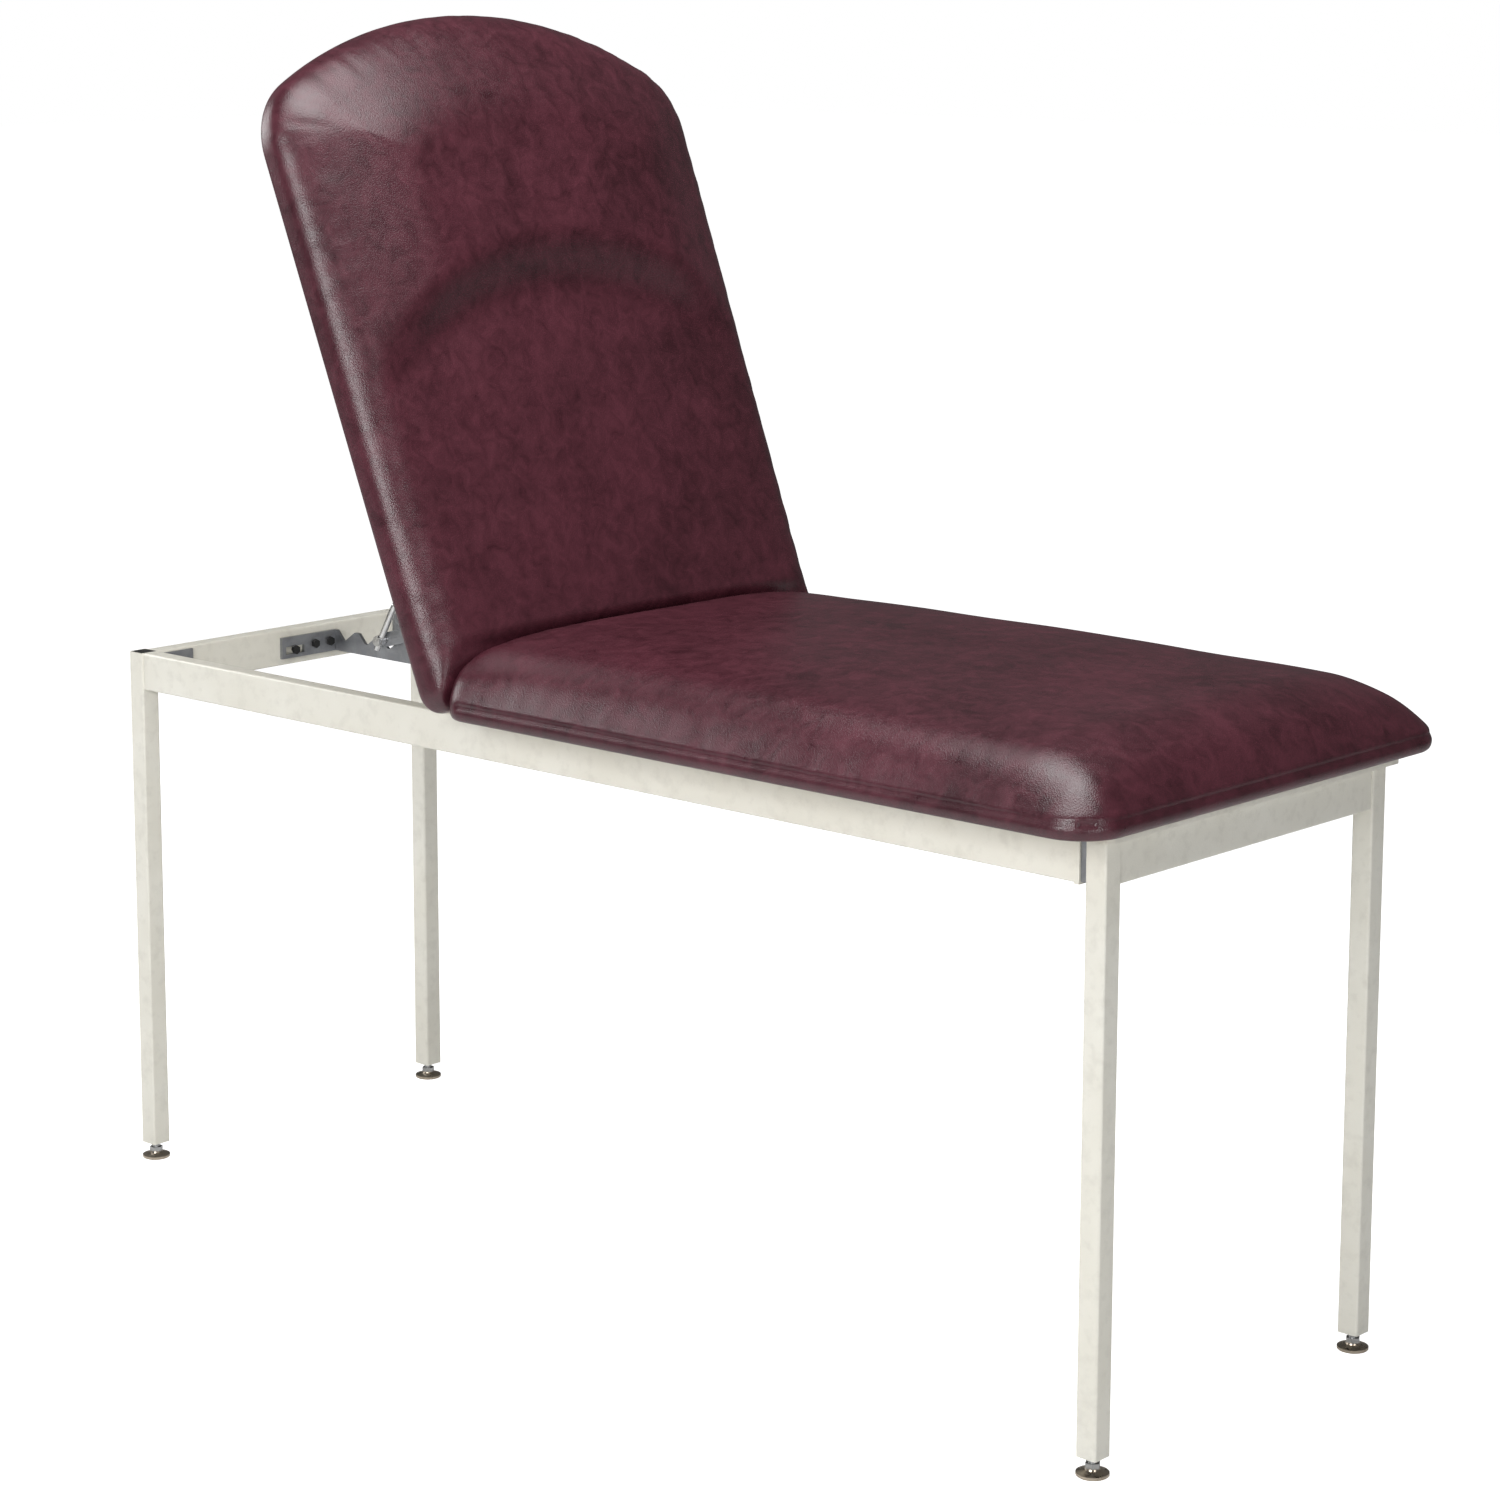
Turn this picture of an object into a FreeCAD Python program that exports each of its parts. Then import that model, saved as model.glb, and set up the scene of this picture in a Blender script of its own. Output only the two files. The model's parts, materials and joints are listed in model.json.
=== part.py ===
import FreeCAD, Part
import os
import re

import Sketcher
from FreeCAD import Placement, Rotation, Vector

# Medical exam table: a bolted steel frame on four levelling feet, a fixed seat
# section and a backrest that hinges on a cross rail and is held by a prop whose
# foot pin drops into a notched comb.
# Frame: origin on the floor under the middle of the whole table, +X towards the
# foot end, +Y away from the near side, +Z up. The backrest stands at its top notch.

DIMENSIONS = [
    # welded and bolted frame
    ("frame_mid", -14), ("frame_len", 1664), ("frame_wid", 546), ("frame_top", 720),
    ("tube", 28), ("tube_wall", 1.5), ("tube_corner", 3), ("leg_base", 22),
    ("cap_tall", 6),
    ("rail_tall", 51), ("rail_thick", 25.4), ("rail_wall", 1.6), ("rail_inset", 2.6),
    ("rail_gap", 9), ("rail_cap", 7), ("cap_lip", 1), ("stub_clear", 0.2), ("stub_grip", 40),
    ("hinge_rail_tall", 38),
    ("gusset_leg", 58), ("gusset_tall", 44), ("gusset_thick", 4),
    # hexagon-head bolts
    ("bolt_shank", 3), ("bolt_head", 6.5), ("bolt_head_tall", 4), ("bolt_reach", 12),
    ("hole_play", 0.2), ("bolt_first", 24), ("bolt_second", 44), ("bolt_lift", 10),
    # levelling feet
    ("disc_rad", 19), ("disc_rim", 4), ("disc_tall", 9), ("hub_rad", 8),
    ("stem_rad", 5), ("stem_top", 62), ("nut_base", 9), ("nut_tall", 6), ("nut_rad", 9),
    ("insert_tall", 25), ("insert_play", 0.05),
    # seat section
    ("seat_start", -141), ("seat_end", 851), ("pad_half", 346), ("pad_base", 734),
    ("pad_top", 803), ("skin", 1.5), ("skin_margin", 18), ("board_thick", 12),
    ("board_inset", 14), ("foot_corner", 60), ("rear_corner", 34),
    ("top_roll", 26), ("base_roll", 10),
    ("strip_wid", 16), ("strip_thick", 2), ("pan_start", -119), ("pan_end", 831),
    ("pan_half", 286), ("sheet", 1.5), ("pan_corner", 12),
    # backrest, in its own frame: origin on the hinge axis, lying flat
    ("hinge_x", -180), ("hinge_z", 722), ("rest_angle", 68.5),
    ("back_base", 12), ("back_top", 77), ("back_start", 4), ("back_side", 797),
    ("back_arch", 634), ("back_shoulder", 100),
    ("bevel_low", 41), ("bevel_end", 92),
    ("tray_start", 26), ("tray_end", 655), ("tray_half", 262),
    ("bumper_rad", 9), ("bumper_tall", 1.7), ("bumper_head", 600), ("bumper_seat", 200), ("bumper_y", 250),
    # hinges
    ("knuckle_rad", 7), ("knuckle_half", 14), ("pin_rad", 4), ("pin_play", 0.06),
    ("ear_thick", 5), ("ear_gap", 0.4), ("leaf_len", 62), ("leaf_thick", 3),
    ("hinge_y", 200), ("pin_head", 7), ("pin_head_tall", 3),
    # prop and comb
    ("prop_y", 75), ("pivot_arm", 130), ("pivot_drop", 14), ("prop_len", 478),
    ("prop_tilt", 15.7), ("strap_half", 10), ("strap_thick", 4), ("strap_off", 8.5),
    ("lug_off", 5.2), ("lug_thick", 3), ("lug_half", 9), ("spacer_rad", 7),
    ("comb_thick", 5), ("comb_base", 679), ("comb_top", 709), ("comb_end", -642),
    ("notch_deep", 14), ("notch_at", -701), ("notch_pitch", 47),
    ("notch_steep", 16), ("notch_ramp", 24), ("flange_y", -27), ("flange_thick", 5),
    ("slot_start", 7), ("slot_len", 34), ("slot_wid", 11), ("slot_z", 690),
    ("comb_bolt_first", 13), ("comb_bolt_second", 41), ("comb_bolt_lift", 4),
    ("lever_rad", 4.5), ("lever_up", 62), ("lever_down", 15), ("lever_tilt", 60),
    ("lever_boss", 8), ("lever_wid", 9),
]
NAMES = {name for name, value in DIMENSIONS}
VALUE = dict(DIMENSIONS)

doc = FreeCAD.newDocument("exam_table")
sheet = doc.addObject("Spreadsheet::Sheet", "dims")
for row, (name, value) in enumerate(DIMENSIONS, start=1):
    sheet.set(f"A{row}", name)
    sheet.set(f"B{row}", str(value))
    sheet.setAlias(f"B{row}", name)
doc.recompute()

SUB_PARTS = []
X_AXIS = Vector(1, 0, 0)
Y_AXIS = Vector(0, 1, 0)
Z_AXIS = Vector(0, 0, 1)


# ---------------------------------------------------------------- helpers

def cells(formula):
    """The formula with each dimension's name turned into its cell in the sheet."""
    return re.sub(r"[a-z_]+", lambda word: f"dims.{word.group()}" if word.group() in NAMES
                  else word.group(), str(formula))


def bind(item, **formulas):
    for prop, formula in formulas.items():
        item.setExpression(prop, cells(formula))


def move(item, x=0, y=0, z=0, axis=Z_AXIS, angle=0):
    """Place an object by formulas for its position and its turn about one axis."""
    item.Placement = Placement(Vector(), Rotation(axis, 1))
    for coordinate, formula in (("x", x), ("y", y), ("z", z)):
        item.setExpression(f"Placement.Base.{coordinate}", cells(formula))
    item.setExpression("Placement.Rotation.Angle", cells(angle))
    return item


def keep(item, label):
    """Name a finished sub-part and list it for writing."""
    item.Label = label
    SUB_PARTS.append(item)
    return item


def box(length, width, height, x, y, z):
    item = doc.addObject("Part::Box", "box")
    bind(item, Length=length, Width=width, Height=height)
    return move(item, x, y, z)


def cylinder(radius, height, x, y, z, axis=Z_AXIS, angle=0):
    item = doc.addObject("Part::Cylinder", "cylinder")
    bind(item, Radius=radius, Height=height)
    return move(item, x, y, z, axis, angle)


def rod(radius, length, x, y, z):
    """A cylinder that runs along +Y from the given end."""
    return cylinder(radius, length, x, y, z, X_AXIS, -90)


def hexagon(radius, height, x, y, z, axis=Z_AXIS, angle=0):
    item = doc.addObject("Part::Prism", "prism")
    item.Polygon = 6
    bind(item, Circumradius=radius, Height=height)
    return move(item, x, y, z, axis, angle)


def fuse(*shapes):
    item = doc.addObject("Part::MultiFuse", "fuse")
    item.Shapes = list(shapes)
    item.Refine = True
    return item


def cut(base, *tools):
    tool = tools[0] if len(tools) == 1 else group(*tools)
    item = doc.addObject("Part::Cut", "cut")
    item.Base = base
    item.Tool = tool
    return item


def common(base, tool):
    item = doc.addObject("Part::Common", "common")
    item.Base = base
    item.Tool = tool
    return item


def group(*shapes):
    """Separate solids kept together in one object."""
    item = doc.addObject("Part::Compound", "group")
    item.Links = list(shapes)
    return item


def origin_datum(body, role):
    """One of the body's own origin planes or axes."""
    return next(item for item in body.Origin.OriginFeatures if item.Role == role)


def new_sketch(body, name, role, offset=0):
    """An empty sketch on one of the body's own planes, lifted by a formula."""
    drawing = body.newObject("Sketcher::SketchObject", name)
    drawing.AttachmentSupport = [(origin_datum(body, role), "")]
    drawing.MapMode = "FlatFace"
    drawing.setExpression("AttachmentOffset.Base.z", cells(offset))
    return drawing


def draw_polygon(drawing, points):
    """A closed outline whose corners are bound to pairs of formulas."""
    count = len(points)
    for index in range(count):
        start, end = Vector(index, index * index, 0), Vector(index + 1, (index + 1) ** 2, 0)
        drawing.addGeometry(Part.LineSegment(start, end), False)
    for index in range(count):
        following = (index + 1) % count
        drawing.addConstraint(Sketcher.Constraint("Coincident", index, 2, following, 1))
    for index, corner in enumerate(points):
        for kind, formula in zip(("DistanceX", "DistanceY"), corner):
            number = drawing.addConstraint(Sketcher.Constraint(kind, -1, 1, index, 1, 1.0))
            drawing.setExpression(f"Constraints[{number}]", cells(formula))


def rectangle(x0, y0, x1, y1):
    return [(x0, y0), (x1, y0), (x1, y1), (x0, y1)]


def pad(body, drawing, length):
    feature = body.newObject("PartDesign::Pad", "pad")
    feature.Profile = drawing
    bind(feature, Length=length)
    return feature


def pocket(body, drawing, length, both_ways=False):
    feature = body.newObject("PartDesign::Pocket", "pocket")
    feature.Profile = drawing
    feature.Reversed = not both_ways
    feature.Midplane = both_ways
    bind(feature, Length=length)
    return feature


def round_edges(body, base, wanted, radius):
    """Fillet the edges of the last feature that the wanted test picks."""
    doc.recompute()
    edges = [f"Edge{number}" for number, edge in enumerate(base.Shape.Edges, start=1) if wanted(edge)]
    feature = body.newObject("PartDesign::Fillet", "fillet")
    feature.Base = (base, edges)
    bind(feature, Radius=radius)
    return feature


def is_upright(edge):
    start, end = edge.Vertexes[0].Point, edge.Vertexes[-1].Point
    return abs(start.x - end.x) < 1e-6 and abs(start.y - end.y) < 1e-6 and start != end


def at_height(height):
    return lambda edge: all(abs(corner.Z - height) < 1e-6 for corner in edge.Vertexes)


def on_back(item):
    """Turn a piece that is drawn lying flat up to the backrest's rest angle."""
    return move(item, "hinge_x", 0, "hinge_z", Y_AXIS, "rest_angle")


PIVOT_X = "hinge_x - pivot_arm * cos(rest_angle) - pivot_drop * sin(rest_angle)"
PIVOT_Z = "hinge_z + pivot_arm * sin(rest_angle) - pivot_drop * cos(rest_angle)"
FOOT_X = f"{PIVOT_X} - prop_len * cos(prop_tilt)"
FOOT_Z = f"{PIVOT_Z} - prop_len * sin(prop_tilt)"


def on_prop(item):
    """Turn a piece that is drawn along -X from the prop's pivot to its slope."""
    return move(item, PIVOT_X, "prop_y", PIVOT_Z, Y_AXIS, "-prop_tilt")


# ---------------------------------------------------------------- frame

SIDE_Y = "frame_wid / 2"
INNER_FACE = "rail_inset + rail_thick"
CORNERS = [("head_near", -1, -1), ("head_far", -1, 1), ("foot_near", 1, -1), ("foot_far", 1, 1)]
SIDES = [("near", -1), ("far", 1)]


def end_x(sign, inset):
    """A place at an inset from the frame's head end (sign -1) or foot end (sign 1)."""
    return f"(frame_mid + {sign} * (frame_len / 2 - ({inset})))"


def hollow_section(wide, deep, length, wall):
    """A square or rectangular tube along +Z, centred on the Z axis."""
    body = doc.addObject("PartDesign::Body", "tube")
    outer = new_sketch(body, "outer", "XY_Plane")
    draw_polygon(outer, rectangle(f"-{wide} / 2", f"-{deep} / 2", f"{wide} / 2", f"{deep} / 2"))
    solid = pad(body, outer, length)
    round_edges(body, solid, is_upright, "tube_corner")
    inner = new_sketch(body, "inner", "XY_Plane")
    half_x, half_y = f"({wide} / 2 - {wall})", f"({deep} / 2 - {wall})"
    draw_polygon(inner, rectangle(f"-{half_x}", f"-{half_y}", half_x, half_y))
    pocket(body, inner, length)
    return body


def leg_centre(x_sign, y_sign):
    return end_x(x_sign, "tube / 2"), f"{y_sign} * ({SIDE_Y} - tube / 2)"


def make_leg(corner, x_sign, y_sign):
    x, y = leg_centre(x_sign, y_sign)
    leg = hollow_section("tube", "tube", "(frame_top - leg_base)", "tube_wall")
    keep(move(leg, x, y, "leg_base"), f"leg_{corner}")


def tube_plug(x_sign, y_sign, base, tall):
    """A square plug that fills a leg's bore between two heights."""
    x, y = leg_centre(x_sign, y_sign)
    half = "(tube / 2 - tube_wall - insert_play)"
    return box(f"2 * {half}", f"2 * {half}", tall, f"{x} - {half}", f"{y} - {half}", base)


def make_leg_caps():
    """The plastic caps in the legs' open top ends."""
    caps = [tube_plug(x_sign, y_sign, "frame_top - cap_tall", "cap_tall")
            for corner, x_sign, y_sign in CORNERS]
    keep(group(*caps), "leg_caps")


def make_leg_inserts():
    """The plugs in the feet of the legs that the stems run through."""
    inserts = []
    for corner, x_sign, y_sign in CORNERS:
        x, y = leg_centre(x_sign, y_sign)
        bore = cylinder("stem_rad + pin_play", "insert_tall", x, y, "leg_base")
        inserts.append(cut(tube_plug(x_sign, y_sign, "leg_base", "insert_tall"), bore))
    keep(group(*inserts), "leg_inserts")


def bolt(x, y, z, axis, angle):
    """A hexagon-head bolt; its shank points along the local -Z."""
    head = hexagon("bolt_head", "bolt_head_tall", x, y, z, axis, angle)
    shank = cylinder("bolt_shank", "bolt_reach", x, y, z, axis, f"{angle} + 180")
    return fuse(head, shank)


def side_bolt_spots():
    """Where bolts pass through the gussets into the side rails."""
    face = f"({SIDE_Y} - ({INNER_FACE} + gusset_thick))"
    for x_sign in (-1, 1):
        for y_sign in (-1, 1):
            for along in ("bolt_first", "bolt_second"):
                x = end_x(x_sign, f"tube + {along}")
                for lift in ("-bolt_lift", "bolt_lift"):
                    z = f"frame_top - rail_tall / 2 + {lift}"
                    yield x, f"{y_sign} * {face}", z, 90 * y_sign


def end_bolt_spots():
    """Where bolts pass through the gussets into the head and foot rails."""
    for x_sign in (-1, 1):
        face = end_x(x_sign, f"{INNER_FACE} + gusset_thick")
        for y_sign in (-1, 1):
            y = f"{y_sign} * ({SIDE_Y} - tube - bolt_first)"
            for lift in ("-bolt_lift", "bolt_lift"):
                yield face, y, f"frame_top - rail_tall / 2 + {lift}", -90 * x_sign


def comb_bolt_spots():
    face = end_x(-1, f"{INNER_FACE} + flange_thick")
    for y in ("prop_y - comb_bolt_first", "prop_y - comb_bolt_second"):
        yield face, y, "slot_z + comb_bolt_lift", 90
    yield face, "flange_y + slot_start + slot_len / 2", "slot_z", 90


def bolt_holes():
    """Round holes for every gusset and comb bolt, with play."""
    radius = "bolt_shank + hole_play"
    depth = "2 * bolt_reach"
    for x, y, z, turn in side_bolt_spots():
        yield cylinder(radius, depth, x, f"{y} - {1 if turn > 0 else -1} * bolt_reach / 2", z,
                       X_AXIS, -turn)
    for x, y, z, turn in end_bolt_spots():
        yield cylinder(radius, depth, f"{x} + {1 if turn > 0 else -1} * bolt_reach / 2", y, z,
                       Y_AXIS, -turn)


def make_side_rail(side, sign):
    start = end_x(-1, "tube")
    stop = end_x(1, "tube + rail_gap + rail_cap")
    y = f"{sign} * ({SIDE_Y} - rail_inset - rail_thick / 2)"
    z = "frame_top - rail_tall / 2"
    rail = hollow_section("rail_tall", "rail_thick", f"({stop} - {start})", "rail_wall")
    move(rail, start, y, z, Y_AXIS, 90)
    keep(cut(rail, HOLES), f"side_rail_{side}")
    outer_lip = "cap_lip" if sign < 0 else "0"
    cap = box("rail_cap", "rail_thick + cap_lip", "rail_tall + 2 * cap_lip", stop,
              f"{y} - rail_thick / 2 - {outer_lip}", "frame_top - rail_tall - cap_lip")
    half = "(rail_thick / 2 - rail_wall - stub_clear)"
    tall = "(rail_tall - 2 * rail_wall - 2 * stub_clear)"
    opening = box("rail_cap", f"2 * {half}", tall, stop, f"{y} - {half}", f"{z} - {tall} / 2")
    keep(cut(cap, opening), f"rail_end_cap_{side}")
    stub = box("stub_grip + rail_cap + rail_gap", f"2 * {half}", tall, f"{stop} - stub_grip",
               f"{y} - {half}", f"{z} - {tall} / 2")
    keep(cut(stub, HOLES), f"rail_stub_{side}")


def make_end_rail(end, sign):
    length = "(frame_wid - 2 * tube)"
    x = end_x(sign, "rail_inset + rail_thick / 2")
    rail = hollow_section("rail_thick", "rail_tall", length, "rail_wall")
    move(rail, x, f"{length} / 2", "frame_top - rail_tall / 2", X_AXIS, 90)
    tools = [HOLES, COMB_HOLES] if sign < 0 else [HOLES]
    keep(cut(rail, *tools), f"{end}_rail")


def make_gusset(corner, x_sign, y_sign):
    """An angle bracket inside one corner, bolted to both rails."""
    x_face = end_x(x_sign, INNER_FACE)
    y_face = f"{y_sign} * ({SIDE_Y} - ({INNER_FACE}))"
    x_back, y_back = int(x_sign > 0), int(y_sign > 0)
    x_near, x_long = f"{x_face} - {x_back} * gusset_thick", f"{x_face} - {x_back} * gusset_leg"
    y_near, y_long = f"{y_face} - {y_back} * gusset_thick", f"{y_face} - {y_back} * gusset_leg"
    z = "frame_top - rail_tall / 2 - gusset_tall / 2"
    along_side = box("gusset_leg", "gusset_thick", "gusset_tall", x_long, y_near, z)
    along_end = box("gusset_thick", "gusset_leg", "gusset_tall", x_near, y_long, z)
    keep(cut(fuse(along_side, along_end), HOLES), f"gusset_{corner}")


def make_hinge_rail():
    """The cross rail under the hinges, between the side rails."""
    length = "(frame_wid - 2 * rail_inset - 2 * rail_thick)"
    rail = hollow_section("rail_thick", "hinge_rail_tall", length, "rail_wall")
    centre = "frame_top - rail_tall + hinge_rail_tall / 2"
    keep(move(rail, "hinge_x", f"{length} / 2", centre, X_AXIS, 90), "hinge_rail")


def make_leveler(corner, x_sign, y_sign):
    """A screw-in foot: a turned disc with a hub, a threaded stem and a lock nut."""
    x, y = leg_centre(x_sign, y_sign)
    body = doc.addObject("PartDesign::Body", "disc")
    profile = new_sketch(body, "profile", "XZ_Plane")
    draw_polygon(profile, [(0, 0), ("disc_rad - 1", 0), ("disc_rad", 1), ("disc_rad", "disc_rim"),
                           ("hub_rad + 1", "disc_tall - 2"), ("hub_rad", "disc_tall"),
                           (0, "disc_tall")])
    turned = body.newObject("PartDesign::Revolution", "turned")
    turned.Profile = profile
    turned.ReferenceAxis = (profile, ["V_Axis"])
    turned.Angle = 360
    keep(move(body, x, y, 0), f"leveler_disc_{corner}")
    stem = cylinder("stem_rad", "stem_top - disc_tall", x, y, "disc_tall")
    keep(stem, f"leveler_stem_{corner}")
    nut = hexagon("nut_rad", "nut_tall", x, y, "nut_base")
    bore = cylinder("stem_rad", "nut_tall", x, y, "nut_base")
    keep(cut(nut, bore), f"leveler_nut_{corner}")


# ---------------------------------------------------------------- cushions

def seat_block(inset):
    """The seat pad's outer form, or its inner one when inset by the skin."""
    body = doc.addObject("PartDesign::Body", "seat_block")
    plan = new_sketch(body, "plan", "XY_Plane", f"pad_base + {inset}")
    half = f"(pad_half - {inset})"
    draw_polygon(plan, rectangle(f"seat_start + {inset}", f"-{half}", f"seat_end - {inset}", half))
    solid = pad(body, plan, f"pad_top - pad_base - 2 * {inset}")
    middle = (VALUE["seat_start"] + VALUE["seat_end"]) / 2
    solid = round_edges(body, solid, lambda edge: is_upright(edge)
                        and edge.Vertexes[0].X > middle, f"foot_corner - {inset}")
    solid = round_edges(body, solid, lambda edge: is_upright(edge)
                        and edge.Vertexes[0].X < middle, f"rear_corner - {inset}")
    return roll_rims(body, solid, inset, VALUE["pad_base"], VALUE["pad_top"])


def roll_rims(body, solid, inset, low, high):
    """Round the top rim widely and the lower rim a little."""
    skin = VALUE["skin"] if inset else 0
    solid = round_edges(body, solid, at_height(high - skin), f"top_roll - {inset}")
    round_edges(body, solid, at_height(low + skin), f"base_roll - {inset}")
    return body


def back_block(inset):
    """The back pad's form lying flat: an arched head end and a bevelled hinge end."""
    body = doc.addObject("PartDesign::Body", "back_block")
    plan = new_sketch(body, "plan", "XY_Plane", f"back_base + {inset}")
    skin = VALUE["skin"] if inset else 0
    half = VALUE["pad_half"] - skin
    start, side, arch = VALUE["back_start"] + skin, VALUE["back_side"], VALUE["back_arch"] - skin
    crown = side - (arch ** 2 - half ** 2) ** 0.5 + arch
    low, high = Vector(-side, -half, 0), Vector(-side, half, 0)
    plan.addGeometry(Part.LineSegment(Vector(-start, half, 0), Vector(-start, -half, 0)), False)
    plan.addGeometry(Part.LineSegment(Vector(-start, -half, 0), low), False)
    plan.addGeometry(Part.LineSegment(high, Vector(-start, half, 0)), False)
    plan.addGeometry(Part.Arc(high, Vector(-crown, 0, 0), low), False)
    for first, first_end, second, second_end in ((0, 2, 1, 1), (2, 2, 0, 1)):
        plan.addConstraint(Sketcher.Constraint("Coincident", first, first_end, second, second_end))
    arc_start = plan.Geometry[3].StartPoint
    low_end, high_end = (1, 2) if (arc_start - low).Length < 1e-6 else (2, 1)
    plan.addConstraint(Sketcher.Constraint("Coincident", 1, 2, 3, low_end))
    plan.addConstraint(Sketcher.Constraint("Coincident", 2, 1, 3, high_end))
    for line, kind in ((0, "Vertical"), (1, "Horizontal"), (2, "Horizontal")):
        plan.addConstraint(Sketcher.Constraint(kind, line))
    plan.addConstraint(Sketcher.Constraint("Symmetric", 1, 2, 2, 1, -1))
    sizes = [(Sketcher.Constraint("DistanceY", 1, 2, 2, 1, 2 * half), f"2 * (pad_half - {inset})"),
             (Sketcher.Constraint("DistanceX", 1, 2, -1, 1, side), "back_side"),
             (Sketcher.Constraint("DistanceX", 1, 1, -1, 1, start), f"back_start + {inset}"),
             (Sketcher.Constraint("Radius", 3, arch), f"back_arch - {inset}")]
    for constraint, formula in sizes:
        number = plan.addConstraint(constraint)
        plan.setExpression(f"Constraints[{number}]", cells(formula))
    solid = pad(body, plan, f"back_top - back_base - 2 * {inset}")
    solid = round_edges(body, solid, lambda edge: is_upright(edge)
                        and edge.Vertexes[0].X < -start - 1, f"back_shoulder - {inset}")
    roll_rims(body, solid, inset, VALUE["back_base"], VALUE["back_top"])
    bevel = new_sketch(body, "bevel", "XZ_Plane")
    draw_polygon(bevel, [(f"-back_start - {inset}", f"bevel_low - {inset}"),
                         (f"-bevel_end - 1.5 * {inset}", "back_top + 1"), (20, "back_top + 1"),
                         (20, f"bevel_low - {inset}")])
    pocket(body, bevel, "3 * pad_half", both_ways=True)
    return body


def make_seat():
    board = box("seat_end - seat_start - 2 * board_inset", "2 * (pad_half - board_inset)",
                "board_thick", "seat_start + board_inset", "-(pad_half - board_inset)",
                "pad_base + skin")
    inner = seat_block("skin")
    window = box("seat_end - seat_start - 2 * skin_margin", "2 * (pad_half - skin_margin)",
                 "2 * skin", "seat_start + skin_margin", "-(pad_half - skin_margin)",
                 "pad_base - skin / 2")
    board_form = common(inner, board)
    keep(board_form, "seat_board")
    keep(cut(seat_block("skin"), board_form), "seat_foam")
    keep(cut(seat_block(0), seat_block("skin"), window), "seat_cover")


ARCH_X = "-back_side + sqrt(back_arch * back_arch - pad_half * pad_half)"


def arched_plate(inset, thick, base):
    """A flat plate inside the back pad's outline, with the same arched head end."""
    strip = box("2 * back_side", f"2 * (pad_half - {inset})", thick,
                f"-2 * back_side - {inset}", f"-(pad_half - {inset})", base)
    round_end = cylinder(f"back_arch - {inset}", thick, ARCH_X, 0, base)
    return common(strip, round_end)


def make_back():
    def make_board():
        plate = arched_plate("board_inset", "board_thick", "back_base + skin")
        return common(back_block("skin"), plate)

    keep(on_back(make_board()), "back_board")
    keep(on_back(cut(back_block("skin"), make_board())), "back_foam")
    window = arched_plate("skin_margin", "2 * skin", "back_base - skin / 2")
    keep(on_back(cut(back_block(0), back_block("skin"), window)), "back_cover")


# ---------------------------------------------------------------- pans

def tray_block(x0, x1, half, base, height, corner):
    body = doc.addObject("PartDesign::Body", "tray_block")
    plan = new_sketch(body, "plan", "XY_Plane", base)
    draw_polygon(plan, rectangle(x0, f"-{half}", x1, half))
    solid = pad(body, plan, height)
    round_edges(body, solid, is_upright, corner)
    return body


def open_tray(x0, x1, half, base, top):
    """A folded sheet tray, open at the top."""
    height = f"{top} - {base}"
    outer = tray_block(x0, x1, half, base, height, "pan_corner")
    inner = tray_block(f"{x0} + sheet", f"{x1} - sheet", f"({half} - sheet)", f"{base} + sheet",
                       height, "pan_corner - sheet")
    return cut(outer, inner)


def make_pans():
    pan_base = "(frame_top + strip_thick)"
    keep(open_tray("pan_start", "pan_end", "pan_half", pan_base, "(pad_base + skin)"), "seat_pan")
    back = open_tray("-tray_end", "-tray_start", "tray_half", "0", "(back_base + skin)")
    keep(on_back(back), "back_pan")


def make_strips():
    """Rubber strips between the rails' tops and the seat pan."""
    long_side = f"({end_x(1, 'tube + rail_gap + rail_cap')} - pan_start - 2 * strip_wid)"
    y = "(frame_wid / 2 - rail_inset - rail_thick / 2)"
    strips = [box(long_side, "strip_wid", "strip_thick", "pan_start + strip_wid",
                  f"{sign} * {y} - strip_wid / 2", "frame_top") for side, sign in SIDES]
    end = box("strip_wid", "frame_wid - 4 * tube", "strip_thick",
              f"{end_x(1, 'rail_inset + rail_thick / 2')} - strip_wid / 2",
              "-(frame_wid / 2 - 2 * tube)", "frame_top")
    keep(group(*strips, end), "seat_pan_strips")


def make_bumpers():
    """Rubber buttons under the back pan that land on the side rails."""
    spots = [(distance, sign) for distance in ("bumper_head", "bumper_seat") for sign in (-1, 1)]
    buttons = [cylinder("bumper_rad", "bumper_tall", f"-{distance}", f"{sign} * bumper_y",
                        "-bumper_tall") for distance, sign in spots]
    keep(on_back(group(*buttons)), "back_bumpers")


# ---------------------------------------------------------------- hinges

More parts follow.
